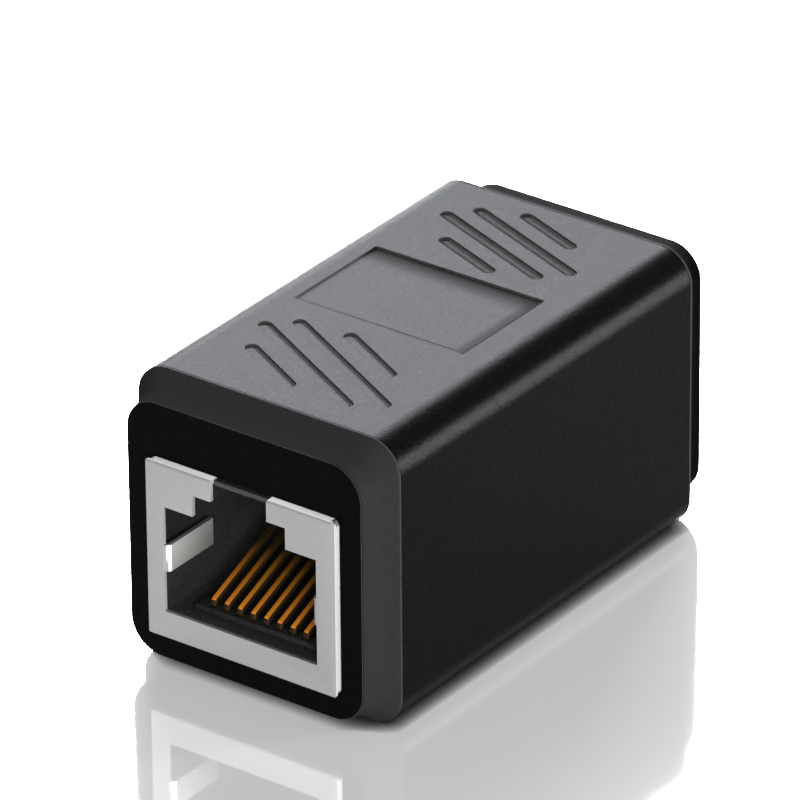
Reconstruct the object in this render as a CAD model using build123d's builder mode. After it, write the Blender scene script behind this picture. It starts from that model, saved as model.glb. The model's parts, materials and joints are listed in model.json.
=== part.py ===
from build123d import *
import os
from math import atan, cos, radians, sin, tan

# RJ45 inline coupler, in millimetres: two shielded eight-way sockets stand back to back on one
# small circuit board, inside a moulded sleeve that a coved bezel closes at each end.
# X is the width, Y the length with the front socket at -Y, and Z is up. The origin is under the
# middle of the sleeve, on the surface that it rests on. Depths are measured in from the front face.

# Sleeve
sleeve_wall = 1.4
body_corner = 2.3
bore_corner = 0.9
edge_break = 0.15

# Label recess in the top of the sleeve
label_width = 13.1
label_length = 8.8
label_depth = 0.35
label_shift_x = -0.4
label_shift_y = 0.7

# Grip grooves in the top of the sleeve, four in a row at each end
groove_width = 0.85
groove_depth = 0.42
front_grip_x = -0.31
front_grip_y = 8.9
front_grip_turn = -27.4
front_long_groove = 11.3
front_short_groove = 5.4
rear_grip_x = -0.45
rear_grip_y = 8.1
rear_grip_turn = -21.1
rear_long_groove = 10.3
rear_short_groove = 4.95
groove_pitch = 2.03
groove_stagger = 0.5

# Coved flange and spigot of each bezel
face_inset = 1.02
cove_length = 2.6
cove_steps = 2
corner_trim = 0.01
rim_land = 0.2
face_plate = 1.6
spigot_length = 3.6
spigot_wall = 0.95
spigot_clearance = 0.1

# Snap catches between spigot and sleeve
catch_height = 4.0
catch_length = 1.3
catch_proud = 0.35
catch_setback = 1.0
catch_clearance = 0.1
relief_width = 0.5

# Ribs in the sleeve that hold the circuit board from behind, and wedges that it snaps past
stop_width = 6.0
stop_height = 0.9
stop_length = 1.2
snap_height = 0.35
snap_length = 1.4
board_play = 0.05

# Stamped socket shield, and the room round it inside the spigots
side_room = 0.31
under_room = 0.36
over_room = 2.38
shield_proud = 0.5
shield_bend = 0.1
sheet = 0.3
shield_clearance = 0.08
frame_corner = 0.15
frame_edge_break = 0.12

# Port for the plug
port_width = 11.8
port_height = 7.4
step_width = 7.14
step_height = 1.48
notch_width = 4.3
plug_depth = 12.4
latch_neck = 2.6

# Spring tabs at both sides of the port
tab_height = 1.85
tab_lift = 2.81
tab_reach = 4.1
tab_stand = 0.1
tab_bend = 0.32
tab_relief = 0.35
tab_margin = 0.25

# Socket insert
insert_clearance = 0.05
insert_wall = 0.99
roof_rise = 1.45
bridge_thickness = 0.35
bridge_length = 1.1
floor_skin = 0.5
lip_length = 1.2
rail_wall = 0.25
rail_length = 1.35
rail_height = 0.3
back_wall = 1.1
comb_length = 1.9
comb_cover = 0.14
wedge_height = 3.0
wedge_length = 1.6
wedge_depth = 9.0
window_margin = 0.15

# Contacts and the block that carries them
contact_count = 8
contact_pitch = 1.02
contact_width = 0.46
contact_thickness = 0.34
contact_bend = 0.32
contact_slope = 22.2
contact_front = 1.55
contact_lift = 0.51
contact_gap = 0.5
contact_clearance = 0.06
run_cover = 0.1
tail_row = 2.54
tail_jog = 0.2
tail_stub = 0.6
tongue_edge = 0.52
tongue_height = 1.03
block_length = 3.1
block_cap = 1.6
foot_width = 0.9
foot_length = 0.9

# Circuit board
board_thickness = 1.6
board_clearance = 0.1
pin_play = 0.08
leg_width = 1.4
leg_low_rise = 2.6
leg_high_rise = 8.8
leg_stub = 0.5
leg_clearance = 0.2
leg_notch = 0.4
leg_slack = 0.12

# Sizes that follow from those above, from the port outwards
skin = sleeve_wall + spigot_clearance + spigot_wall
floor_rise = sheet + 2 * insert_clearance + tongue_height + floor_skin
shield_width = port_width + 2 * (insert_wall + insert_clearance + sheet)
shield_height = floor_rise + port_height + step_height + roof_rise
shield_base = skin + under_room
body_width = shield_width + 2 * (side_room + skin)
body_height = shield_base + shield_height + over_room + skin
bore_width = body_width - 2 * sleeve_wall
bore_height = body_height - 2 * sleeve_wall
middle_height = body_height / 2
block_front = plug_depth + back_wall
board_face = block_front + block_length + foot_length
body_length = 2 * board_face + board_thickness
bezel_depth = cove_length + rim_land
sleeve_length = body_length - 2 * bezel_depth

cove_angle = 2 * atan(face_inset / cove_length)
cove_radius = cove_length / sin(cove_angle)

spigot_width = bore_width - 2 * spigot_clearance
spigot_height = bore_height - 2 * spigot_clearance
spigot_corner = bore_corner - spigot_clearance
spigot_end = bezel_depth + spigot_length
catch_depth = bezel_depth + catch_setback

shield_corner = shield_bend + sheet
shield_middle = shield_base + shield_height / 2
shield_top = shield_base + shield_height
shield_reach = board_face + shield_proud
leg_low = shield_base + leg_low_rise
leg_high = shield_base + leg_high_rise
port_floor = shield_base + floor_rise
port_shoulder = port_floor + port_height
notch_floor = port_shoulder + step_height
tab_base = port_floor + tab_lift

insert_width = shield_width - 2 * (sheet + insert_clearance)
insert_height = shield_height - 2 * (sheet + insert_clearance)
insert_base = shield_base + sheet + insert_clearance
insert_top = insert_base + insert_height
insert_front = sheet - shield_proud + insert_clearance
insert_depth = board_face - insert_front
bridge_top = shield_top - insert_clearance
bridge_base = bridge_top - bridge_thickness

contact_lanes = [contact_pitch * (lane - (contact_count - 1) / 2) for lane in range(contact_count)]
tongue_top = port_floor - floor_skin - insert_clearance
tongue_front = contact_front + contact_bend
tongue_width = contact_count * contact_pitch + 2 * tongue_edge
block_width = tongue_width + 2 * foot_width
contact_rise = tan(radians(contact_slope))
contact_start = port_floor + contact_lift
contact_end = plug_depth - contact_gap
contact_tip = contact_start + (contact_end - contact_front) * contact_rise
run_height = tongue_top - run_cover - contact_clearance - contact_thickness / 2
channel = contact_width + 2 * contact_clearance
tail_heights = [run_height + tail_row * (lane % 2) for lane in range(contact_count)]
block_height = run_height + tail_row + block_cap - insert_base


def inward(depth):
    # plane across the length, this far in from the front end face, looking out of the front
    return Plane.XZ.offset(body_length / 2 - depth)


def write_pair(piece, name):
    # the rear socket's pieces are the front ones turned half a turn about the upright axis
    piece.label = f"front_{name}"
    export_step(piece, f"parts/front_{name}.step")
    turned = piece.rotate(Axis.Z, 180)
    turned.label = f"rear_{name}"
    export_step(turned, f"parts/rear_{name}.step")


os.makedirs("parts", exist_ok=True)


# Sleeve: a rounded tube with the label recess and the grip grooves sunk into its top


def grip(centre_x, centre_y, turn, long_groove, short_groove):
    # four round-ended grooves side by side, a short one outside each of two long ones
    lengths = [short_groove, long_groove, long_groove, short_groove]
    with BuildSketch(Plane.XY.offset(body_height)) as slots:
        with Locations(Location((centre_x, centre_y, 0), (0, 0, turn))):
            for row, length in enumerate(lengths):
                rank = row - (len(lengths) - 1) / 2
                with Locations((groove_stagger * rank, groove_pitch * rank)):
                    SlotCenterToCenter(length, groove_width)
    return slots.sketch


front_grip = grip(
    front_grip_x,
    front_grip_y - body_length / 2,
    front_grip_turn,
    front_long_groove,
    front_short_groove,
)
rear_grip = grip(
    rear_grip_x,
    body_length / 2 - rear_grip_y,
    rear_grip_turn,
    rear_long_groove,
    rear_short_groove,
)

with BuildPart() as housing_sleeve:
    with BuildSketch(inward(body_length - bezel_depth)):
        with Locations((0, middle_height)):
            RectangleRounded(body_width, body_height, body_corner)
            RectangleRounded(bore_width, bore_height, bore_corner, mode=Mode.SUBTRACT)
    extrude(amount=sleeve_length)
    sleeve_ends = housing_sleeve.faces().filter_by(Axis.Y)
    chamfer([edge for end in sleeve_ends for edge in end.outer_wire().edges()], edge_break)

    with BuildSketch(Plane.XY.offset(body_height)):
        with Locations((label_shift_x, label_shift_y)):
            Rectangle(label_width, label_length)
    extrude(amount=-label_depth, mode=Mode.SUBTRACT)

    for grooves in (front_grip, rear_grip):
        extrude(grooves, amount=-groove_depth, mode=Mode.SUBTRACT)

    # blind pockets in the side walls, which the bezels' catches snap into
    pocket_length = catch_length + 2 * catch_clearance
    pocket_depth = catch_depth + catch_length / 2
    pocket_reach = bore_width / 2 - spigot_clearance + catch_proud + catch_clearance
    for end in (-1, 1):
        with BuildSketch(Plane.XY.offset(middle_height)):
            with Locations((0, end * (body_length / 2 - pocket_depth))):
                Rectangle(2 * pocket_reach, pocket_length)
        extrude(amount=catch_height / 2 + catch_clearance, both=True, mode=Mode.SUBTRACT)

    # stop ribs behind the board, and in front of it the low wedges that it snaps past
    stop_line = board_thickness / 2 + board_play
    for level in (-1, 1):
        wall = middle_height + level * bore_height / 2
        root = wall + level * sleeve_wall / 2
        with BuildSketch(Plane.YZ):
            with BuildLine():
                Polyline(
                    (stop_line, root),
                    (stop_line + stop_length, root),
                    (stop_line + stop_length, wall - level * stop_height),
                    (stop_line, wall - level * stop_height),
                    close=True,
                )
            make_face()
            with BuildLine():
                Polyline(
                    (-stop_line, root),
                    (-stop_line, wall - level * snap_height),
                    (-stop_line - snap_length, wall),
                    (-stop_line - snap_length, root),
                    close=True,
                )
            make_face()
        extrude(amount=stop_width / 2, both=True)

housing_sleeve.part.label = "housing_sleeve"
export_step(housing_sleeve.part, "parts/housing_sleeve.step")


# Bezel: a coved flange, a face plate with the shield's opening, and a hollow spigot with catches


def coved_outline(plane, low, high):
    # the flange between its two long sides, each of which runs out in an arc from the end face
    front = -body_length / 2
    rear = front + cove_length
    with BuildSketch(plane) as outline:
        with BuildLine():
            RadiusArc((front, low + face_inset), (rear, low), cove_radius)
            Line((rear, low), (rear, high))
            RadiusArc((rear, high), (front, high - face_inset), cove_radius)
            Line((front, high - face_inset), (front, low + face_inset))
        make_face()
    return outline.sketch


with BuildPart() as bezel:
    # a loft that keeps one corner radius while it widens, a little too large, and two outlines
    # that trim its flat sides to the true arc
    for step in range(cove_steps + 1):
        turn = cove_angle * step / cove_steps
        inset = face_inset - cove_radius * (1 - cos(turn)) - corner_trim
        with BuildSketch(inward(cove_radius * sin(turn))):
            with Locations((0, middle_height)):
                RectangleRounded(body_width - 2 * inset, body_height - 2 * inset, body_corner)
    loft()
    for plane, low, high, reach in (
        (Plane.YZ, 0, body_height, body_width),
        (Plane.YX, -body_width / 2, body_width / 2, body_height + corner_trim),
    ):
        trim = coved_outline(plane, low, high)
        extrude(trim, amount=reach, both=True, mode=Mode.INTERSECT)
    with BuildSketch(inward(cove_length)):
        with Locations((0, middle_height)):
            RectangleRounded(body_width, body_height, body_corner)
    extrude(amount=-rim_land)
    with BuildSketch(inward(bezel_depth)):
        with Locations((0, middle_height)):
            RectangleRounded(spigot_width, spigot_height, spigot_corner)
    extrude(amount=-spigot_length)
    end_face = bezel.faces().sort_by(Axis.Y)[0]
    chamfer(end_face.outer_wire().edges(), edge_break)

    # the hollow behind the face plate, and the opening that the shield looks out of
    with BuildSketch(inward(face_plate)):
        with Locations((0, middle_height)):
            Rectangle(spigot_width - 2 * spigot_wall, spigot_height - 2 * spigot_wall)
    extrude(amount=face_plate - spigot_end, mode=Mode.SUBTRACT)
    with BuildSketch(inward(0)):
        with Locations((0, shield_middle)):
            RectangleRounded(
                shield_width + 2 * shield_clearance,
                shield_height + 2 * shield_clearance,
                shield_corner + shield_clearance,
            )
    extrude(amount=-face_plate, mode=Mode.SUBTRACT)

    # a wedge-shaped catch on each side, on a strip of wall that two slots set free
    catch_root = spigot_width / 2 - spigot_wall / 2
    for side in (-1, 1):
        with BuildSketch(Plane.XY.offset(middle_height)):
            with BuildLine():
                Polyline(
                    (side * catch_root, catch_depth - body_length / 2),
                    (side * (spigot_width / 2 + catch_proud), catch_depth - body_length / 2),
                    (side * spigot_width / 2, catch_depth + catch_length - body_length / 2),
                    (side * catch_root, catch_depth + catch_length - body_length / 2),
                    close=True,
                )
            make_face()
        extrude(amount=catch_height / 2, both=True)
    with BuildSketch(inward(bezel_depth)):
        for level in (-1, 1):
            with Locations((0, middle_height + level * (catch_height + relief_width) / 2)):
                Rectangle(spigot_width, relief_width)
    extrude(amount=-spigot_length, mode=Mode.SUBTRACT)

write_pair(bezel.part, "bezel")


# Shield: one folded sheet with a stepped window, two spring tabs bent into the port, and legs


def port_profile():
    # the plug's opening, the step above it and the latch notch, one over the other
    with Locations((0, port_floor)):
        Rectangle(port_width, port_height, align=(Align.CENTER, Align.MIN))
    with Locations((0, port_shoulder)):
        Rectangle(step_width, step_height, align=(Align.CENTER, Align.MIN))


with BuildPart() as jack_shield:
    with BuildSketch(inward(-shield_proud)):
        with Locations((0, shield_middle)):
            RectangleRounded(shield_width, shield_height, frame_corner)
    extrude(amount=-sheet)
    frame_face = jack_shield.faces().sort_by(Axis.Y)[0]
    chamfer(frame_face.outer_wire().edges(), frame_edge_break)
    with BuildSketch(inward(sheet - shield_proud)):
        with Locations((0, shield_middle)):
            RectangleRounded(shield_width, shield_height, shield_corner)
    extrude(amount=sheet - shield_reach)
    with BuildSketch(inward(sheet - shield_proud)):
        with Locations((0, shield_middle)):
            RectangleRounded(
                shield_width - 2 * sheet,
                shield_height - 2 * sheet,
                shield_bend,
            )
    extrude(amount=sheet - shield_reach, mode=Mode.SUBTRACT)

    with BuildSketch(inward(-shield_proud)):
        port_profile()
    extrude(amount=-sheet, mode=Mode.SUBTRACT)
    with BuildSketch(inward(-shield_proud)):
        with Locations((0, notch_floor)):
            Rectangle(notch_width, shield_top - notch_floor, align=(Align.CENTER, Align.MIN))
    extrude(amount=-(shield_proud + bridge_length + insert_clearance), mode=Mode.SUBTRACT)

    tab_line = port_width / 2 - tab_stand - sheet / 2
    frame_line = -shield_proud + sheet / 2 - body_length / 2
    for side in (-1, 1):
        with BuildLine() as tab_path:
            FilletPolyline(
                (side * (port_width / 2 + sheet), frame_line, tab_base + tab_height / 2),
                (side * tab_line, frame_line, tab_base + tab_height / 2),
                (side * tab_line, tab_reach - body_length / 2, tab_base + tab_height / 2),
                radius=tab_bend,
            )
        with BuildSketch(Plane(tab_path.line @ 0, x_dir=(0, 0, 1), z_dir=tab_path.line % 0)):
            Rectangle(tab_height, sheet)
        sweep(path=tab_path.line)

    # side windows for the insert's wedges
    with BuildSketch(Plane.YZ):
        with Locations((wedge_depth - body_length / 2, shield_middle)):
            Rectangle(wedge_length + 2 * window_margin, wedge_height + 2 * window_margin)
    extrude(amount=shield_width / 2, both=True, mode=Mode.SUBTRACT)

    # one solder leg on each side, low on the left and high on the right, and a notch in the back
    # edge across from each, which clears the end of the other socket's leg
    for side, leg, notch in ((-1, leg_low, leg_high), (1, leg_high, leg_low)):
        with BuildSketch(inward(board_face)):
            with Locations((side * (shield_width - sheet) / 2, leg)):
                Rectangle(sheet, leg_width)
        extrude(amount=-(board_thickness + leg_stub))
        with BuildSketch(inward(board_face)):
            with Locations((side * shield_width / 2, notch)):
                Rectangle(2 * leg_notch, leg_width + 2 * leg_clearance)
        extrude(amount=leg_stub + leg_clearance, mode=Mode.SUBTRACT)

write_pair(jack_shield.part, "jack_shield")


# Insert: the moulded block with the port, its latch shoulders, the contact slots and the comb

with BuildPart() as jack_insert:
    with BuildSketch(inward(insert_front)):
        with Locations((0, insert_base)):
            Rectangle(insert_width, insert_height, align=(Align.CENTER, Align.MIN))
        with Locations((0, bridge_top)):
            Rectangle(
                notch_width - 2 * insert_clearance,
                bridge_top - notch_floor,
                align=(Align.CENTER, Align.MAX),
            )
    extrude(amount=-bridge_length)
    with BuildSketch(inward(insert_front + bridge_length)):
        with Locations((0, insert_base)):
            Rectangle(insert_width, insert_height, align=(Align.CENTER, Align.MIN))
    extrude(amount=bridge_length - insert_depth)

    # port, latch channel under the bridge, and the wider latch room behind its shoulders
    with BuildSketch(inward(insert_front)):
        port_profile()
    extrude(amount=insert_front - plug_depth, mode=Mode.SUBTRACT)
    with BuildSketch(inward(insert_front)):
        with Locations((0, notch_floor)):
            Rectangle(notch_width, bridge_base - notch_floor, align=(Align.CENTER, Align.MIN))
    extrude(amount=insert_front - plug_depth, mode=Mode.SUBTRACT)
    with BuildSketch(inward(insert_front + bridge_length)):
        with Locations((0, notch_floor)):
            Rectangle(notch_width, insert_top - notch_floor, align=(Align.CENTER, Align.MIN))
    extrude(amount=insert_front + bridge_length - plug_depth, mode=Mode.SUBTRACT)
    with BuildSketch(inward(latch_neck)):
        with Locations((0, notch_floor)):
            Rectangle(step_width, insert_top - notch_floor, align=(Align.CENTER, Align.MIN))
    extrude(amount=latch_neck - plug_depth, mode=Mode.SUBTRACT)

    # room behind the shield's spring tabs
    with BuildSketch(inward(insert_front)):
        with Locations((0, tab_base + tab_height / 2)):
            Rectangle(port_width + 2 * tab_relief, tab_height + 2 * tab_margin)
    extrude(amount=insert_front - tab_reach - tab_margin, mode=Mode.SUBTRACT)

    # channel under the floor for the tongue, and the pocket for the contact block
    with BuildSketch(inward(lip_length)):
        with Locations((0, insert_base)):
            Rectangle(
                tongue_width + 2 * insert_clearance,
                tongue_top + insert_clearance - insert_base,
                align=(Align.CENTER, Align.MIN),
            )
    extrude(amount=lip_length - board_face, mode=Mode.SUBTRACT)
    with BuildSketch(inward(block_front - insert_clearance)):
        with Locations((0, insert_base)):
            Rectangle(
                block_width + 2 * insert_clearance,
                block_height + 2 * insert_clearance,
                align=(Align.CENTER, Align.MIN),
            )
    extrude(amount=block_front - insert_clearance - board_face, mode=Mode.SUBTRACT)

    # a low rail across the floor, whose slots the contacts rise out of, and the comb that spaces
    # their free ends
    with BuildSketch(inward(lip_length - rail_wall)):
        with Locations((0, port_floor)):
            Rectangle(tongue_width, rail_height, align=(Align.CENTER, Align.MIN))
    extrude(amount=-rail_length)
    with BuildSketch(inward(lip_length)):
        for lane in contact_lanes:
            with Locations((lane, tongue_top)):
                Rectangle(channel, port_floor + rail_height - tongue_top, align=(Align.CENTER, Align.MIN))
    extrude(amount=rail_wall - rail_length, mode=Mode.SUBTRACT)
    comb_web = contact_pitch - channel
    comb_rise = contact_tip + contact_thickness / 2 + comb_cover - port_floor
    with BuildSketch(inward(plug_depth - comb_length)):
        for web in range(contact_count + 1):
            with Locations((contact_pitch * (web - contact_count / 2), port_floor)):
                Rectangle(comb_web, comb_rise, align=(Align.CENTER, Align.MIN))
    extrude(amount=-comb_length)

    # side wedges that snap into the shield's windows
    for side in (-1, 1):
        with BuildSketch(Plane.XY.offset(shield_middle)):
            with BuildLine():
                Polyline(
                    (side * (insert_width / 2 - sheet), wedge_depth - (body_length + wedge_length) / 2),
                    (side * insert_width / 2, wedge_depth - (body_length + wedge_length) / 2),
                    (side * (insert_width / 2 + sheet), wedge_depth - (body_length - wedge_length) / 2),
                    (side * (insert_width / 2 - sheet), wedge_depth - (body_length - wedge_length) / 2),
                    close=True,
                )
            make_face()
        extrude(amount=wedge_height / 2, both=True)

write_pair(jack_insert.part, "jack_insert")


# Contact block: a tongue that lies under the port's floor, and a block that holds the tails apart

with BuildPart() as contact_block:
    with BuildSketch(inward(tongue_front)):
        with Locations((0, insert_base)):
            Rectangle(tongue_width, tongue_top - insert_base, align=(Align.CENTER, Align.MIN))
    extrude(amount=tongue_front - block_front)
    with BuildSketch(inward(block_front)):
        with Locations((0, insert_base)):
            Rectangle(block_width, block_height, align=(Align.CENTER, Align.MIN))
    extrude(amount=-block_length)
    with BuildSketch(inward(block_front + block_length)):
        for side in (-1, 1):
            with Locations((side * (block_width - foot_width) / 2, insert_base)):
                Rectangle(foot_width, block_height, align=(Align.CENTER, Align.MIN))
    extrude(amount=-foot_length)

    # open grooves along the tongue, and a slot through the block up to each tail's own row
    groove_base = run_height - contact_thickness / 2 - contact_clearance
    with BuildSketch(inward(tongue_front)):
        for lane in contact_lanes:
            with Locations((lane, groove_base)):
                Rectangle(channel, tongue_top - groove_base, align=(Align.CENTER, Align.MIN))
    extrude(amount=tongue_front - block_front - block_length, mode=Mode.SUBTRACT)
    with BuildSketch(inward(block_front)):
        for lane, tail in zip(contact_lanes, tail_heights):
            with Locations((lane, groove_base)):
                Rectangle(
                    channel,
                    tail - run_height + contact_thickness + 2 * contact_clearance,
                    align=(Align.CENTER, Align.MIN),
                )
    extrude(amount=-block_length, mode=Mode.SUBTRACT)

write_pair(contact_block.part, "contact_block")


# Contacts: a sprung wire from the comb down to the port's floor, back along the tongue to its tail


def contact(lane, tail):
    route = [
        (contact_end, contact_tip),
        (contact_front, contact_start),
        (contact_front, run_height),
    ]
    if tail > run_height:
        # every other tail climbs at 45 degrees to the upper row of holes
        route.append((block_front + tail_jog, run_height))
        route.append((block_front + tail_jog + tail - run_height, tail))
    route.append((board_face + board_thickness + tail_stub, tail))
    points = [(lane, depth - body_length / 2, height) for depth, height in route]
    with BuildPart() as wire:
        with BuildLine() as path:
            FilletPolyline(*points, radius=contact_bend)
        with BuildSketch(Plane(path.line @ 0, x_dir=(1, 0, 0), z_dir=path.line % 0)):
            Rectangle(contact_width, contact_thickness)
        sweep(path=path.line)
    return wire.part


for number, (lane, tail) in enumerate(zip(contact_lanes, tail_heights), start=1):
    write_pair(contact(lane, tail), f"contact_{number}")


# Circuit board: stands across the middle, with the tails of both sockets in two rows of holes.
# Solder fills the real holes round each tail and leg, so the holes here have the pins' own section.

with BuildPart() as circuit_board:
    with BuildSketch(inward(board_face)):
        with Locations((0, middle_height)):
            RectangleRounded(
                bore_width - 2 * board_clearance,
                bore_height - 2 * board_clearance,
                bore_corner - board_clearance,
            )
        for facing in (-1, 1):
            for lane, tail in zip(contact_lanes, tail_heights):
                with Locations((facing * lane, tail)):
                    Rectangle(
                        contact_width + 2 * pin_play,
                        contact_thickness + 2 * pin_play,
                        mode=Mode.SUBTRACT,
                    )
            for side, leg in ((-facing, leg_low), (facing, leg_high)):
                with Locations((side * (shield_width - sheet) / 2, leg)):
                    Rectangle(
                        sheet + 2 * leg_slack,
                        leg_width + 2 * leg_slack,
                        mode=Mode.SUBTRACT,
                    )
    extrude(amount=-board_thickness)

circuit_board.part.label = "circuit_board"
export_step(circuit_board.part, "parts/circuit_board.step")
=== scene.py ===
import json
import math

import bmesh
import bpy
from mathutils import Matrix, Vector


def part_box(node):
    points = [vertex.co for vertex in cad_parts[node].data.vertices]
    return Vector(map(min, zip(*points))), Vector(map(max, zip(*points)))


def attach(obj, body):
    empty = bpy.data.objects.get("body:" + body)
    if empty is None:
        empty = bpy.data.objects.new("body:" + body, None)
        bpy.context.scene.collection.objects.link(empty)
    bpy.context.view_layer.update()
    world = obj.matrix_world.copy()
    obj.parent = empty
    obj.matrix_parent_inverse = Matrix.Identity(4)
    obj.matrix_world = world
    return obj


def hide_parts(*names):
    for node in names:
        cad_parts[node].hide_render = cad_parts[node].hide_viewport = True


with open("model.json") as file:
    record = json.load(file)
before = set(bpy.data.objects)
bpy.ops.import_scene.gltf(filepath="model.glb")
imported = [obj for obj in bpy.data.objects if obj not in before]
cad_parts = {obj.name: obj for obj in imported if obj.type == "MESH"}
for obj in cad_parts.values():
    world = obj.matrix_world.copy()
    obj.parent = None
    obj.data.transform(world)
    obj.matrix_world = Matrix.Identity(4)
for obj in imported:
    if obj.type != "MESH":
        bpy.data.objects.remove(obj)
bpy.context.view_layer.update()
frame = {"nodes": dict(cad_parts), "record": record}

mm = 0.001
nodes = frame["nodes"]


def say(words):
    print("coupler:", words)


# Materials

def newFinish(name):
    finish = bpy.data.materials.new(name)
    finish.use_nodes = True
    return finish, finish.node_tree, finish.node_tree.nodes["Principled BSDF"]


def addNode(tree, kind, **values):
    node = tree.nodes.new(kind)
    for key, value in values.items():
        setattr(node, key, value)
    return node


def noise(tree, grainSize, detail=2.0, roughness=0.5):
    # noise whose blobs are about grainSize millimetres across
    place = addNode(tree, "ShaderNodeTexCoord")
    node = addNode(tree, "ShaderNodeTexNoise")
    node.inputs["Scale"].default_value = 1.0 / (grainSize * mm)
    node.inputs["Detail"].default_value = detail
    node.inputs["Roughness"].default_value = roughness
    tree.links.new(place.outputs["Object"], node.inputs["Vector"])
    return node.outputs["Fac"]


def spread(tree, value, low, high, fromLow=0.3, fromHigh=0.7):
    node = addNode(tree, "ShaderNodeMapRange")
    node.inputs["From Min"].default_value = fromLow
    node.inputs["From Max"].default_value = fromHigh
    node.inputs["To Min"].default_value = low
    node.inputs["To Max"].default_value = high
    tree.links.new(value, node.inputs["Value"])
    return node.outputs["Result"]


def mixColours(tree, factor, first, second):
    node = addNode(tree, "ShaderNodeMix", data_type="RGBA")
    for socket, colour in ((6, first), (7, second)):
        if isinstance(colour, tuple):
            node.inputs[socket].default_value = (*colour, 1)
        else:
            tree.links.new(colour, node.inputs[socket])
    tree.links.new(factor, node.inputs[0])
    return node.outputs[2]


def bump(tree, shader, height, strength, depth):
    node = addNode(tree, "ShaderNodeBump")
    node.inputs["Strength"].default_value = strength
    node.inputs["Distance"].default_value = depth * mm
    tree.links.new(height, node.inputs["Height"])
    tree.links.new(node.outputs["Normal"], shader.inputs["Normal"])


def plainFinish(name, look):
    # a grained finish: two colours, a gloss range and a fine relief, all from one noise
    finish, tree, shader = newFinish(name)
    grain = noise(tree, look["grain"], 3.0, 0.6)
    colour = mixColours(tree, spread(tree, grain, 0, 1), look["dark"], look["light"])
    if "mouth" in look:      # painted light and shade: another colour towards the port's mouth, where light reaches in, with the darker colours deeper in
        colour = mixColours(tree, depthInside(tree, *look["fade"]), colour, look["mouth"])
    gloss = spread(tree, grain, *look["gloss"])
    if "dull" in look:      # painted shade: darker and rougher where the mesh's painted shade values are low
        shade = addNode(tree, "ShaderNodeAttribute", attribute_name="shade").outputs["Fac"]
        colour = mixColours(tree, shade, (0.0, 0.0, 0.0), colour)
        rougher = addNode(tree, "ShaderNodeMath", operation="ADD", use_clamp=True)
        tree.links.new(gloss, rougher.inputs[0])
        tree.links.new(spread(tree, shade, look["dull"], 0, 0, 1), rougher.inputs[1])
        gloss = rougher.outputs[0]
    tree.links.new(colour, shader.inputs["Base Color"])
    tree.links.new(gloss, shader.inputs["Roughness"])
    shader.inputs["Specular IOR Level"].default_value = look.get("shine", 0.5)
    shader.inputs["Metallic"].default_value = look.get("metal", 0.0)
    if "relief" in look:
        bump(tree, shader, grain, *look["relief"])
    return finish


def depthInside(tree, start, end):
    # 0 to 1 between two distances from the coupler's middle, in millimetres along its length
    place = addNode(tree, "ShaderNodeTexCoord")
    parts = addNode(tree, "ShaderNodeSeparateXYZ")
    tree.links.new(place.outputs["Object"], parts.inputs[0])
    length = addNode(tree, "ShaderNodeMath", operation="ABSOLUTE")
    tree.links.new(parts.outputs["Y"], length.inputs[0])
    return spread(tree, length.outputs[0], 0, 1, start * mm, end * mm)


def sleevePlastic():
    look = {
        "dark": (0.0008, 0.0008, 0.0009), "light": (0.002, 0.002, 0.0022),
        "grain": 0.2, "gloss": (0.26, 0.36), "shine": 0.0135, "relief": (0.6, 0.032),
    }
    # the second finish, for the hollows' floors, is the same plastic with painted shade, darker and rougher
    # near their walls
    return plainFinish("sleevePlastic", look), plainFinish("floorPlasticPaintedShade", {**look, "dull": 0.42})


def hollowWallPaintedLight():
    # the walls of the hollows in the top: the sleeve's black plastic painted lighter, as painted light
    look = {
        "dark": (0.014, 0.014, 0.014), "light": (0.028, 0.028, 0.028),
        "grain": 0.3, "gloss": (0.42, 0.52), "shine": 0.022, "relief": (0.5, 0.03),
    }
    return plainFinish("hollowWallPaintedLight", look)


def dullPlasticPaintedShade():
    # the rear grooves' floors, duller than the rest of the top, with painted shade from the mesh's shade
    # values
    look = {
        "dark": (0.003, 0.003, 0.003), "light": (0.009, 0.009, 0.009),
        "grain": 0.3, "gloss": (0.3, 0.42), "shine": 0.0095, "relief": (0.8, 0.045), "dull": 0.35,
    }
    return plainFinish("dullPlasticPaintedShade", look)


def bezelPlastic():
    look = {
        "dark": (0.0006, 0.0006, 0.0006), "light": (0.0016, 0.0016, 0.0016),
        "grain": 0.18, "gloss": (0.42, 0.5), "shine": 0.01, "relief": (0.25, 0.01),
    }
    return plainFinish("bezelPlastic", look)


def coveGrainPaintedLight():
    # the front cove: a fine grain, and painted light, a colour much lighter than the bezel's face
    look = {
        "dark": (0.0105, 0.0108, 0.0113), "light": (0.0155, 0.016, 0.0165),
        "grain": 0.11, "gloss": (0.5, 0.6), "shine": 0.0, "relief": (0.3, 0.01),
    }
    return plainFinish("coveGrainPaintedLight", look)


def rearCoveGrainPaintedShade():
    # the rear cove: a fine grain, and painted shade that darkens it round its corners to the sides
    look = {
        "dark": (0.004, 0.004, 0.0042), "light": (0.008, 0.008, 0.0083),
        "grain": 0.11, "gloss": (0.35, 0.45), "shine": 0.005, "relief": (0.3, 0.01), "dull": 0.6,
    }
    return plainFinish("rearCoveGrainPaintedShade", look)


def bezelEdgeHighlight():
    # painted highlight: the bezel's edges, a little lighter than its faces
    look = {
        "dark": (0.016, 0.016, 0.0165), "light": (0.026, 0.026, 0.0265),
        "grain": 0.3, "gloss": (0.35, 0.45), "shine": 0.01,
    }
    return plainFinish("bezelEdgeHighlight", look)


def insertPlastic():
    look = {
        "dark": (0.0078, 0.0078, 0.0078), "light": (0.013, 0.013, 0.013),
        "grain": 0.3, "gloss": (0.4, 0.5), "shine": 0.06, "relief": (0.2, 0.01),
    }
    return plainFinish("insertPlastic", look)


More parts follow.
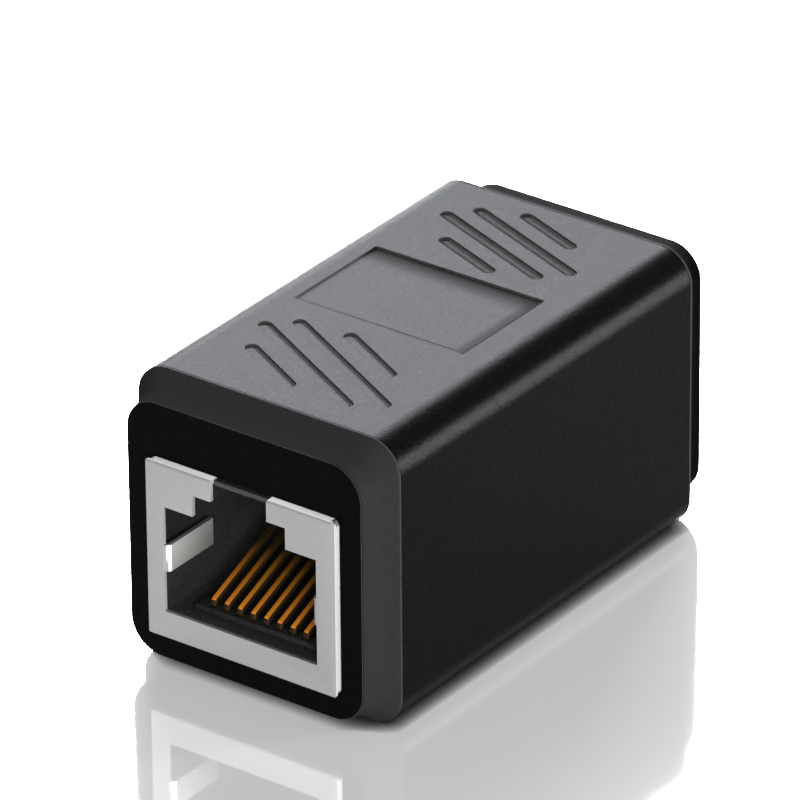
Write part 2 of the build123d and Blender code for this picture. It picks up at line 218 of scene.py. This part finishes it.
def insertBridgeHighlight():
    # painted highlight: the front of the bridge over the latch notch, lighter than the rest of the insert
    look = {
        "dark": (0.026, 0.026, 0.026), "light": (0.032, 0.032, 0.032),
        "grain": 0.3, "gloss": (0.35, 0.45), "shine": 0.05,
    }
    return plainFinish("insertBridgeHighlight", look)


def shieldNickel():
    look = {
        "dark": (0.21, 0.21, 0.21), "light": (0.225, 0.225, 0.225),
        "grain": 0.25, "gloss": (0.36, 0.4), "metal": 0.6, "relief": (0.06, 0.003),
    }
    return plainFinish("shieldNickel", look)


def nickelEdgeHighlight():
    # painted highlight: the bright sheared and folded edges
    look = {
        "dark": (0.84, 0.84, 0.84), "light": (0.9, 0.9, 0.9),
        "grain": 0.25, "gloss": (0.36, 0.4), "metal": 0.15,
    }
    return plainFinish("nickelEdgeHighlight", look)


def chamferNickelPaintedShade():
    # painted shade: the chamfers on both sides of the front plate, darker than the rest of the nickel
    look = {
        "dark": (0.13, 0.13, 0.13), "light": (0.14, 0.14, 0.14),
        "grain": 0.25, "gloss": (0.6, 0.7), "shine": 0.1,
    }
    return plainFinish("chamferNickelPaintedShade", look)


def sideNickelPaintedHighlight():
    # painted highlight: the sheared sides of the front plate, lighter than the rest of the nickel
    look = {
        "dark": (0.36, 0.36, 0.36), "light": (0.4, 0.4, 0.4),
        "grain": 0.25, "gloss": (0.6, 0.7), "shine": 0.1,
    }
    return plainFinish("sideNickelPaintedHighlight", look)


def tabNickel():
    # the spring tabs, with painted shade deep in the port and painted light at its mouth
    look = {
        "dark": (0.1, 0.098, 0.093), "light": (0.122, 0.119, 0.115),
        "mouth": (0.27, 0.27, 0.262), "fade": (14, 18),
        "grain": 0.25, "gloss": (0.3, 0.4), "metal": 0.2, "relief": (0.06, 0.003),
    }
    return plainFinish("tabNickel", look)


def contactGold():
    # the contacts, with painted shade: nearly black deep in the port, and gold towards its mouth
    look = {
        "dark": (0.010, 0.007, 0.001), "light": (0.016, 0.011, 0.002),
        "mouth": (0.44, 0.145, 0.008), "fade": (12.0, 17.6),
        "grain": 0.25, "gloss": (0.4, 0.5), "shine": 0.2, "metal": 0.2, "relief": (0.1, 0.004),
    }
    return plainFinish("contactGold", look)


def goldSidePaintedShade():
    # painted shade: the contacts' dark sides, edges and noses
    look = {
        "dark": (0.009, 0.005, 0.0012), "light": (0.014, 0.008, 0.002),
        "grain": 0.2, "gloss": (0.5, 0.6), "shine": 0.1, "metal": 0.2,
    }
    return plainFinish("goldSidePaintedShade", look)


def boardLaminate():
    look = {
        "dark": (0.015, 0.10, 0.04), "light": (0.03, 0.15, 0.06),
        "grain": 0.4, "gloss": (0.25, 0.4),
    }
    return plainFinish("boardLaminate", look)


outsidePlastic, floorPlasticPaintedShade = sleevePlastic()
finishes = {
    "sleeve_plastic": outsidePlastic,
    "bezel_plastic": bezelPlastic(),
    "insert_plastic": insertPlastic(),
    "block_plastic": insertPlastic(),
    "shield_nickel": shieldNickel(),
    "contact_gold": contactGold(),
    "board_laminate": boardLaminate(),
}
coveFinishes = {"front": coveGrainPaintedLight(), "rear": rearCoveGrainPaintedShade()}
bezelEdgeHighlightFinish = bezelEdgeHighlight()
hollowFinishes = (hollowWallPaintedLight(), dullPlasticPaintedShade(), floorPlasticPaintedShade)
hollowWall, dullFloor, brightFloor = 1, 2, 3      # their places among the sleeve's finishes
extraFinishes = {
    "shield_nickel": (nickelEdgeHighlight(), tabNickel(), chamferNickelPaintedShade(), sideNickelPaintedHighlight()),
    "contact_gold": (goldSidePaintedShade(),),
    "insert_plastic": (insertBridgeHighlight(),),
}
slotOf = {part["node"]: part["material_slot"] for part in frame["record"]["subparts"]}
for name, node in nodes.items():
    node.data.materials.clear()
    node.data.materials.append(finishes[slotOf[name]])
say("finishes on the CAD nodes")


# Mesh helpers, all in millimetres

def roundedLoop(halfU, halfV, radius, steps, centreV=0.0):
    # a rounded rectangle, anticlockwise from the end of its right side
    points = []
    for corner, (signU, signV) in enumerate(((1, 1), (-1, 1), (-1, -1), (1, -1))):
        for step in range(steps + 1):
            turn = (corner + step / steps) * math.pi / 2
            u = signU * (halfU - radius) + radius * math.cos(turn)
            v = signV * (halfV - radius) + radius * math.sin(turn) + centreV
            if not points or math.dist(points[-1], (u, v)) > 1e-5:
                points.append((u, v))
    if math.dist(points[0], points[-1]) < 1e-5:
        points.pop()
    return points


def skin(shape, rings, closed=False, skip=(), finishOf=None):
    # four-sided faces from each loop of points to the next
    loops = [[shape.verts.new(point) for point in ring] for ring in rings]
    count = len(loops[0])
    for row in range(len(loops) if closed else len(loops) - 1):
        near, far = loops[row], loops[(row + 1) % len(loops)]
        for place in range(count):
            if (row, place) in skip:
                continue
            after = (place + 1) % count
            face = shape.faces.new((near[place], near[after], far[after], far[place]))
            if finishOf:
                face.material_index = finishOf(row)
    return loops


def quarter(radius, steps):
    # (along, across) of a quarter round, from its start to its end
    turns = [step / steps * math.pi / 2 for step in range(steps + 1)]
    return [(radius * (1 - math.cos(turn)), radius * math.sin(turn)) for turn in turns]


def makePiece(name, shape, slot, standsFor, others):
    bmesh.ops.remove_doubles(shape, verts=shape.verts, dist=1e-5)
    bmesh.ops.recalc_face_normals(shape, faces=shape.faces)
    mesh = bpy.data.meshes.new(name)
    shape.to_mesh(mesh)
    shape.free()
    mesh.transform(Matrix.Scale(mm, 4))
    return addPiece(name, mesh, slot, standsFor, others)


def addPiece(name, mesh, slot, standsFor, others):
    # finish 0 of a piece is its slot's own, and others come after it
    for finish in (finishes[slot], *others):
        mesh.materials.append(finish)
    mesh.shade_smooth()
    piece = bpy.data.objects.new(name, mesh)
    bpy.context.scene.collection.objects.link(piece)
    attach(piece, "root")
    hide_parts(standsFor)
    return piece


def weighNormals(piece):
    # flat faces stay flat right up to the rounded edges beside them
    weights = piece.modifiers.new("flatFaces", "WEIGHTED_NORMAL")
    weights.mode = "FACE_AREA"
    weights.weight = 100


# Sleeve

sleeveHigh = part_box("housing_sleeve")[1]
bodyHalf = sleeveHigh.x / mm
bodyHeight = sleeveHigh.z / mm
bodyMiddle = bodyHeight / 2
sleeveHalf = sleeveHigh.y / mm
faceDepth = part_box("rear_bezel")[1].y / mm


def sinkProfile(depth, lip, root, lean):
    # (inset, drop) down a hollow's wall: a rounded lip, a leaning wall and a rounded root
    steep = math.radians(90 - lean)
    rounds = 5
    turns = [step / rounds * steep for step in range(rounds + 1)]
    profile = [(lip * math.sin(turn), lip * (1 - math.cos(turn))) for turn in turns]
    fall = depth - (lip + root) * (1 - math.cos(steep))
    foot = profile[-1][0] + fall / math.tan(steep) + root * math.sin(steep)
    for turn in reversed(turns):
        profile.append((foot - root * math.sin(turn), depth - root * (1 - math.cos(turn))))
    middle = profile[rounds][0] + fall / math.tan(steep) / 2
    return [(inset - middle, drop) for inset, drop in profile]


def sinkHollow(shape, centre, turn, half, profile, floor):
    # a hollow in the top face, from its rim down to its floor; gives back the rim's edges
    across = Matrix.Rotation(math.radians(turn), 4, "Z")
    place = Matrix.Translation((centre[0], centre[1], bodyHeight)) @ across
    foot, depth = profile[-1]
    rings = []
    for inset, drop in [*profile, (foot + floor["fade"] / 2, depth), (foot + floor["fade"], depth)]:
        loop = roundedLoop(half[0] - inset, half[1] - inset, half[1] - inset, 6)
        rings.append([place @ Vector((u, v, -drop)) for u, v in loop])
    wallRows = len(profile) - 1
    loops = skin(shape, rings, finishOf=lambda row: hollowWall if row < wallRows else floor["finish"])
    shape.faces.new(loops[-1]).material_index = floor["finish"]
    layer = shape.verts.layers.float.get("shade")
    toLocal = place.inverted()
    straight = half[0] - half[1]
    for ring, light in ((-3, 0.0), (-2, 0.6), (-1, 1.0)):      # painted shade on the floor, from the wall's foot to the floor's middle
        for point in loops[ring]:
            spot = toLocal @ point.co
            capAt = max(-straight, min(straight, spot.x))
            out = Vector((spot.x - capAt, spot.y)).normalized()
            far = min(1, max(0, 0.5 + 0.55 * (out.x + out.y)))      # painted shade: 1 at the far side and the near end
            dark = floor["near"] + (floor["far"] - floor["near"]) * far
            point[layer] = dark + (1 - dark) * light
    rim = loops[0]
    return [shape.edges.get((rim[at - 1], rim[at])) for at in range(len(rim))]


def sinkLabel(shape, look):
    # the label recess: soft walls, and a floor that dips to its rear wall, with painted shade near its walls;
    # gives back the rim's edges
    halfU, halfV = look["size"][0] / 2, look["size"][1] / 2
    left, right, front, rear = look["walls"]
    shares = [step / 6 for step in range(7)]
    dips = [look["dipLength"] * step / 10 for step in range(1, 11)]
    leftShade, rightShade = look["shades"][0][1], look["shades"][1][1]
    acrossLines = [left * share - halfU for share in shares] + [leftShade - halfU]
    acrossLines += [halfU - rightShade * share for share in (1.0, 0.7)]
    acrossLines += [halfU - right * share for share in reversed(shares)]
    alongLines = [front * share - halfV for share in shares]
    alongLines += [halfV - rear - dip for dip in reversed(dips)]
    alongLines += [halfV - rear * share for share in reversed(shares)]

    def wall(inside, width):
        share = min(inside / width, 1)
        return share * share * (3 - 2 * share)

    # painted shade, darker towards the left, right and rear walls
    def shade(u, v):
        near = []
        for inside, (dark, width) in zip((halfU + u, halfU - u, halfV - v), look["shades"]):
            near.append(dark + (1 - dark) * min(1, inside / width))
        return math.prod(near)

    def drop(u, v):
        nearRear = min(1, max(0, 1 - (halfV - rear - v) / look["dipLength"]))
        depth = look["depth"] + look["dip"] * nearRear ** 2
        sides = wall(halfU + u, left) * wall(halfU - u, right)
        return depth * sides * wall(halfV + v, front) * wall(halfV - v, rear)

    layer = shape.verts.layers.float.get("shade")
    shiftU, shiftV = look["shift"]
    grid = []
    for v in alongLines:
        grid.append([shape.verts.new((shiftU + u, shiftV + v, bodyHeight - drop(u, v))) for u in acrossLines])
        for u, point in zip(acrossLines, grid[-1]):
            point[layer] = shade(u, v)
    for row, (low, high) in enumerate(zip(grid, grid[1:])):
        for at in range(len(low) - 1):
            face = shape.faces.new((low[at], low[at + 1], high[at + 1], high[at]))
            # the rear wall rows take the hollows' painted-lighter wall finish
            face.material_index = hollowWall if row >= len(grid) - len(shares) else brightFloor
    rim = grid[0] + [row[-1] for row in grid[1:]] + grid[-1][-2::-1] + [row[0] for row in grid[-2:0:-1]]
    return [shape.edges.get((rim[at - 1], rim[at])) for at in range(len(rim))]


def makeSleeve():
    look = {
        "corner": 2.3, "boreCorner": 0.9, "wall": 1.4, "edge": 0.03, "cornerSteps": 18,
        "label": {
            "shift": (-0.4, 0.7), "size": (13.1, 8.8), "depth": 0.05, "dip": 0.1, "dipLength": 2.1,
            "walls": (0.3, 0.45, 0.35, 0.1),      # widths of the left, right, front and rear walls
            "shades": ((0.6, 0.5), (0.35, 1.0), (0.1, 2.1)),      # the painted shade near the walls, how dark and how wide: left, right, rear
        },
        "groove": {"width": 0.85, "depth": 0.14, "lip": 0.05, "root": 0.1, "lean": 14, "pitch": 2.03},
        # each grip's floor: its finish, and its painted shade: how wide it fades, how dark on the far side
        # and on the near side
        "grips": (
            {
                "at": (-0.38, 8.77 - faceDepth), "turn": -28.0,
                "lengths": (5.4, 11.7, 12.1, 5.6), "shifts": (-1, -0.25, 0.7, 0.5),
                "floor": {"finish": brightFloor, "fade": 0.26, "far": 0.2, "near": 1.0},
            },
            {
                "at": (-0.45, faceDepth - 8.1), "turn": -21.1,
                "lengths": (4.95, 10.3, 10.3, 4.95), "shifts": (0.05, -0.25, 0.5, 0.15),
                "floor": {"finish": dullFloor, "fade": 0.3, "far": 0.3, "near": 0.1},
            },
        ),
    }
    shape = bmesh.new()
    shape.verts.layers.float.new("shade")
    edge = quarter(look["edge"], 3)
    steps = look["cornerSteps"]
    rings = []
    for end, rounds in ((-1, edge), (1, edge[::-1])):
        for along, across in rounds:
            inset = look["edge"] - across
            corner = look["corner"] - inset
            loop = roundedLoop(bodyHalf - inset, bodyMiddle - inset, corner, steps, bodyMiddle)
            rings.append([(u, end * (sleeveHalf - along), v) for u, v in loop])
    wall = look["wall"]
    for end in (1, -1):
        loop = roundedLoop(bodyHalf - wall, bodyMiddle - wall, look["boreCorner"], steps, bodyMiddle)
        rings.append([(u, end * sleeveHalf, v) for u, v in loop])
    near = len(edge) - 1
    loops = skin(shape, rings, closed=True, skip={(near, steps)})

    # the flat top, filled in round its hollows
    front, rear = loops[near], loops[near + 1]
    corners = [front[steps], front[steps + 1], rear[steps + 1], rear[steps]]
    edges = [shape.edges.get((corners[at - 1], corners[at])) for at in range(4)]
    edges += sinkLabel(shape, look["label"])
    groove = look["groove"]
    profile = sinkProfile(groove["depth"], groove["lip"], groove["root"], groove["lean"])
    for grip in look["grips"]:
        turned = Matrix.Rotation(math.radians(grip["turn"]), 2)
        for row, length in enumerate(grip["lengths"]):
            shift = turned @ Vector((grip["shifts"][row], groove["pitch"] * (row - 1.5)))
            centre = (grip["at"][0] + shift.x, grip["at"][1] + shift.y)
            half = ((length + groove["width"]) / 2, groove["width"] / 2)
            edges += sinkHollow(shape, centre, grip["turn"], half, profile, grip["floor"])
    filled = bmesh.ops.triangle_fill(shape, use_beauty=True, edges=edges, normal=(0, 0, 1))["geom"]
    inner = [part for part in filled if isinstance(part, bmesh.types.BMEdge) and part not in edges]
    bmesh.ops.dissolve_limit(shape, angle_limit=math.radians(1), verts=[], edges=inner)
    weighNormals(makePiece("grooved_sleeve", shape, "sleeve_plastic", "housing_sleeve", hollowFinishes))


makeSleeve()
say("sleeve with its label recess and grip grooves")


# Bezels

def bezelRings(look):
    # loops of the coved flange from its face edge, round the spigot, and out through the opening
    steps = look["cornerSteps"]
    turnEnd = 2 * math.atan(look["faceInset"] / look["coveLength"])
    coveRadius = look["coveLength"] / math.sin(turnEnd)

    def outline(depth, inset, corner):
        loop = roundedLoop(bodyHalf - inset, bodyMiddle - inset, corner, steps, bodyMiddle)
        return [(u, depth - faceDepth, v) for u, v in loop]

    rings = [
        outline(along, look["faceInset"] + look["edge"] - across, look["corner"] - look["edge"] + across)
        for along, across in quarter(look["edge"], 4)
    ]
    faceRows = len(rings) - 1
    coveStart = math.asin(look["edge"] / coveRadius)
    for step in range(1, look["coveSteps"] + 1):
        turn = coveStart + (turnEnd - coveStart) * step / look["coveSteps"]
        inset = look["faceInset"] - coveRadius * (1 - math.cos(turn))
        rings.append(outline(coveRadius * math.sin(turn), inset, look["corner"]))
    flangeDepth = look["coveLength"] + look["rimLand"]
    rings.append(outline(flangeDepth - look["rimEdge"], 0, look["corner"]))
    rings.append(outline(flangeDepth, look["rimEdge"], look["corner"] - look["rimEdge"]))
    spigotInset = look["sleeveWall"] + look["spigotGap"]
    rings.append(outline(flangeDepth, spigotInset, look["spigotCorner"]))
    rings.append(outline(flangeDepth + look["spigotLength"], spigotInset, look["spigotCorner"]))
    inner = spigotInset + look["spigotWall"]
    rings.append(outline(flangeDepth + look["spigotLength"], inner, look["innerCorner"]))
    rings.append(outline(look["facePlate"], inner, look["innerCorner"]))
    low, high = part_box("front_jack_shield")
    halfU = high.x / mm + look["shieldGap"]
    halfV = (high.z - low.z) / mm / 2 + look["shieldGap"]
    centre = (high.z + low.z) / mm / 2
    opening = [(look["facePlate"], 0.0)]
    opening += [(along, look["lip"] - across) for along, across in quarter(look["lip"], 3)[::-1]]
    for depth, grow in opening:
        loop = roundedLoop(halfU + grow, halfV + grow, look["openingCorner"] + grow, steps, centre)
        rings.append([(u, depth - faceDepth, v) for u, v in loop])
    return rings, faceRows


def makeBezel(end):
    look = {
        "corner": 2.3, "cornerSteps": 18, "edge": 0.15,
        "faceInset": 1.02, "coveLength": 2.6, "coveSteps": 16, "rimLand": 0.2, "rimEdge": 0.03,
        "sleeveWall": 1.4, "spigotGap": 0.1, "spigotLength": 3.6, "spigotWall": 0.95, "spigotCorner": 0.8,
        "innerCorner": 0.05, "facePlate": 1.6, "shieldGap": 0.08, "openingCorner": 0.48, "lip": 0.08,
        "sideShade": 0.15, "shadeFall": 1.6,
    }
    rings, faceRows = bezelRings(look)
    landRow = faceRows + look["coveSteps"]
    finishAt = {row: 1 for row in range(faceRows, landRow)}      # 1 in the cove, painted lighter than the face, 2 on its two edges, a painted highlight
    finishAt.update({faceRows // 2: 2, landRow: 2})
    shape = bmesh.new()
    layer = shape.verts.layers.float.new("shade")
    skin(shape, rings, closed=True, finishOf=lambda row: finishAt.get(row, 0))
    for point in shape.verts:      # painted shade: the shade value is 1 on top and falls round the corners to the sides
        fromSide, fromTop = bodyHalf - abs(point.co.x), bodyHeight - point.co.z
        share = fromTop / max(fromSide + fromTop, 0.01)
        point[layer] = 1 - (1 - look["sideShade"]) * min(1, look["shadeFall"] * share)
    if end == "rear":
        halfTurn = Matrix.Rotation(math.pi, 3, "Z")
        bmesh.ops.rotate(shape, verts=shape.verts, cent=(0, 0, 0), matrix=halfTurn)
    others = (coveFinishes[end], bezelEdgeHighlightFinish)
    weighNormals(makePiece(end + "_coved_bezel", shape, "bezel_plastic", end + "_bezel", others))


for end in ("front", "rear"):
    makeBezel(end)
say("coved bezels")


# Stamped and moulded pieces: the CAD forms with the small round edges that they really have

def softenEdges(node, name, width, edgeFinish, finishOf):
    # rounds the edges of a CAD form, in the finish given for the edges (painted highlight on the shields,
    # painted shade on the contacts); finishOf picks each flat face's finish
    look = {"segments": 2, "sharp": 35}
    shape = bmesh.new()
    shape.from_mesh(nodes[node].data)
    bmesh.ops.remove_doubles(shape, verts=shape.verts, dist=1e-6)
    bmesh.ops.dissolve_limit(shape, angle_limit=math.radians(1), verts=shape.verts, edges=shape.edges)
    bmesh.ops.recalc_face_normals(shape, faces=shape.faces)
    bmesh.ops.connect_verts_concave(shape, faces=shape.faces)
    for face in shape.faces:
        face.material_index = finishOf(face)
    mesh = bpy.data.meshes.new(name)
    shape.to_mesh(mesh)
    shape.free()
    piece = addPiece(name, mesh, slotOf[node], node, extraFinishes[slotOf[node]])
    bevel = piece.modifiers.new("softEdges", "BEVEL")
    bevel.width = width * mm
    bevel.segments = look["segments"]
    bevel.limit_method = "ANGLE"
    bevel.angle_limit = math.radians(look["sharp"])
    bevel.harden_normals = True
    bevel.material = edgeFinish


def shieldFinish(face):
    # 1 on the plate's top and the tabs' bends (painted highlight), 2 on the tabs (painted light and shade), 3
    # on the plate's chamfers (painted shade), 4 on its sides (painted highlight)
    look = {"plateEdge": 0.2, "topEdge": 0.02}
    side, turned = abs(face.normal.x), abs(face.normal.y)
    middle = face.calc_center_median()
    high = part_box("front_jack_shield")[1]
    outside = abs(middle.x) > high.x - look["plateEdge"] * mm
    if face.normal.z > 0.99 and middle.z > high.z - look["topEdge"] * mm:
        return 1
    if outside and side > 0.5:
        return 4 if side > 0.99 else 3
    if side > 0.6 and turned < 0.8 and not outside:
        return 2 if side > 0.97 or abs(face.normal.z) > 0.01 else int(side > 0.8)
    return 0


def insertFinish(face):
    # 1 on the front of the bridge over the latch notch, its painted highlight
    look = {"bridge": 0.6}
    high = face.calc_center_median().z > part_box("front_jack_insert")[1].z - look["bridge"] * mm
    return 1 if high and abs(face.normal.y) > 0.9 else 0


def contactFinish(face):
    # 1, painted shade, on the sides and on the nose, which turns down into its slot
    return 1 if abs(face.normal.x) > 0.9 or abs(face.normal.y) > 0.7 else 0


softEdges = {"shield": 0.035, "insert": 0.07, "contact": 0.07}
for end in ("front", "rear"):
    softenEdges(end + "_jack_shield", end + "_stamped_shield", softEdges["shield"], 1, shieldFinish)
    softenEdges(end + "_jack_insert", end + "_moulded_insert", softEdges["insert"], 0, insertFinish)
    for number in range(1, 9):
        name = f"{end}_sprung_contact_{number}"
        softenEdges(f"{end}_contact_{number}", name, softEdges["contact"], 1, contactFinish)
say("shields, inserts and contacts")


# Floor, background and light

def seenRay(tree):
    # 1 for a ray from the camera, or from a glossy or clear surface, and otherwise 0
    ray = addNode(tree, "ShaderNodeLightPath")
    first = addNode(tree, "ShaderNodeMath", operation="MAXIMUM")
    second = addNode(tree, "ShaderNodeMath", operation="MAXIMUM")
    tree.links.new(ray.outputs["Is Camera Ray"], first.inputs[0])
    tree.links.new(ray.outputs["Is Glossy Ray"], first.inputs[1])
    tree.links.new(first.outputs[0], second.inputs[0])
    tree.links.new(ray.outputs["Is Transmission Ray"], second.inputs[1])
    return second.outputs[0]


def stageFinish(name, colour, mirror, blur, glow, contact):
    # a matt floor that glows a little towards the camera, under a thin mirror
    finish, tree, shader = newFinish(name)
    tree.nodes.remove(shader)
    out = tree.nodes["Material Output"]
    matt = addNode(tree, "ShaderNodeBsdfDiffuse")
    # painted contact shadow: darker close to the coupler
    near = addNode(tree, "ShaderNodeAmbientOcclusion", samples=8)
    near.inputs["Distance"].default_value = contact["reach"] * mm
    shade = addNode(tree, "ShaderNodeMath", operation="POWER")
    shade.inputs[1].default_value = contact["power"]
    tree.links.new(near.outputs["AO"], shade.inputs[0])
    tree.links.new(mixColours(tree, shade.outputs[0], (0.0, 0.0, 0.0), colour), matt.inputs["Color"])
    light = addNode(tree, "ShaderNodeEmission")
    light.inputs["Color"].default_value = (1, 1, 1, 1)
    strength = addNode(tree, "ShaderNodeMath", operation="MULTIPLY")
    strength.inputs[1].default_value = glow
    tree.links.new(seenRay(tree), strength.inputs[0])
    shaded = addNode(tree, "ShaderNodeMath", operation="MULTIPLY")
    tree.links.new(strength.outputs[0], shaded.inputs[0])
    tree.links.new(shade.outputs[0], shaded.inputs[1])
    tree.links.new(shaded.outputs[0], light.inputs["Strength"])
    both = addNode(tree, "ShaderNodeAddShader")
    tree.links.new(matt.outputs[0], both.inputs[0])
    tree.links.new(light.outputs[0], both.inputs[1])
    glossy = addNode(tree, "ShaderNodeBsdfGlossy")
    glossy.inputs["Roughness"].default_value = blur
    glossy.inputs["Color"].default_value = (1, 1, 1, 1)
    mix = addNode(tree, "ShaderNodeMixShader")
    mix.inputs[0].default_value = mirror
    tree.links.new(both.outputs[0], mix.inputs[1])
    tree.links.new(glossy.outputs[0], mix.inputs[2])
    tree.links.new(mix.outputs[0], out.inputs["Surface"])
    return finish


def makeFloor():
    look = {
        "half": 1.5,
        "paint": {
            "colour": (0.5, 0.5, 0.5), "mirror": 0.56, "blur": 0.04, "glow": 0.65,
            "contact": {"reach": 1.0, "power": 2.0},
        },
    }
    grid = bmesh.new()
    bmesh.ops.create_grid(grid, x_segments=1, y_segments=1, size=look["half"])
    mesh = bpy.data.meshes.new("floor")
    grid.to_mesh(mesh)
    grid.free()
    floor = bpy.data.objects.new("floor", mesh)
    bpy.context.scene.collection.objects.link(floor)
    mesh.materials.append(stageFinish("floorPaint", **look["paint"]))


def makeWorld():
    look = {"seen": 1.0, "ambient": 0.35}
    world = bpy.data.worlds.new("studio")
    bpy.context.scene.world = world
    world.use_nodes = True
    tree = world.node_tree
    ground = tree.nodes["Background"]
    ground.inputs["Color"].default_value = (1, 1, 1, 1)
    choose = addNode(tree, "ShaderNodeMapRange")
    choose.inputs["To Min"].default_value = look["ambient"]
    choose.inputs["To Max"].default_value = look["seen"]
    tree.links.new(seenRay(tree), choose.inputs["Value"])
    tree.links.new(choose.outputs["Result"], ground.inputs["Strength"])


def softbox(name, place, size, radiance, colour=(1, 1, 1), target=(0, 0, 0.01)):
    # an area lamp, told by how bright its face is; 1 is as bright as the white background
    lamp = bpy.data.lights.new(name, "AREA")
    lamp.shape = "RECTANGLE"
    lamp.size, lamp.size_y = size
    lamp.energy = radiance * 4 * size[0] * size[1]
    lamp.color = colour
    thing = bpy.data.objects.new(name, lamp)
    bpy.context.scene.collection.objects.link(thing)
    thing.location = place
    thing.rotation_mode = "QUATERNION"
    thing.rotation_quaternion = (Vector(target) - Vector(place)).to_track_quat("-Z", "Y")


makeFloor()
makeWorld()
coolWhite = (0.93, 0.955, 1.0)
lamps = {
    "backSoftbox": {
        "place": (-0.25, 0.34, 0.285), "size": (0.30, 0.2), "radiance": 31.0, "colour": coolWhite,
    },
    "edgeStrip": {"place": (-0.30, 0.33, 0.09), "size": (0.08, 0.09), "radiance": 18.0, "colour": coolWhite},
    "sideStrip": {"place": (0.31, 0.30, 0.05), "size": (0.08, 0.10), "radiance": 88.0},
    "keySoftbox": {"place": (0.50, -0.58, 0.24), "size": (0.35, 0.35), "radiance": 28.0},
}
for name, look in lamps.items():
    softbox(name, **look)
say("floor, background and lamps")


# Camera

def makeCamera():
    look = {
        "place": (0.294758, -0.402703, 0.279726),
        "turn": -36.336,      # degrees, from +Y towards -X
        "tilt": 28.104,       # degrees below the horizon
        "roll": 0.487,
        "lens": 405.72,
        "sensor": 36.0,
    }
    turn, tilt, roll = (math.radians(look[key]) for key in ("turn", "tilt", "roll"))
    forward = Vector((math.sin(turn) * math.cos(tilt), math.cos(turn) * math.cos(tilt), -math.sin(tilt)))
    level = Vector((math.cos(turn), -math.sin(turn), 0))
    down = forward.cross(level)
    right = math.cos(roll) * level + math.sin(roll) * down
    down = math.cos(roll) * down - math.sin(roll) * level
    camera = bpy.data.objects.new("camera", bpy.data.cameras.new("camera"))
    bpy.context.scene.collection.objects.link(camera)
    camera.data.lens = look["lens"]
    camera.data.sensor_width = look["sensor"]
    camera.data.clip_start = 0.05
    camera.data.clip_end = 10
    axes = Matrix((right, -down, -forward)).transposed()
    camera.matrix_world = Matrix.Translation(look["place"]) @ axes.to_4x4()
    bpy.context.scene.camera = camera


makeCamera()
bpy.context.scene.view_settings.view_transform = "Standard"
say("camera")
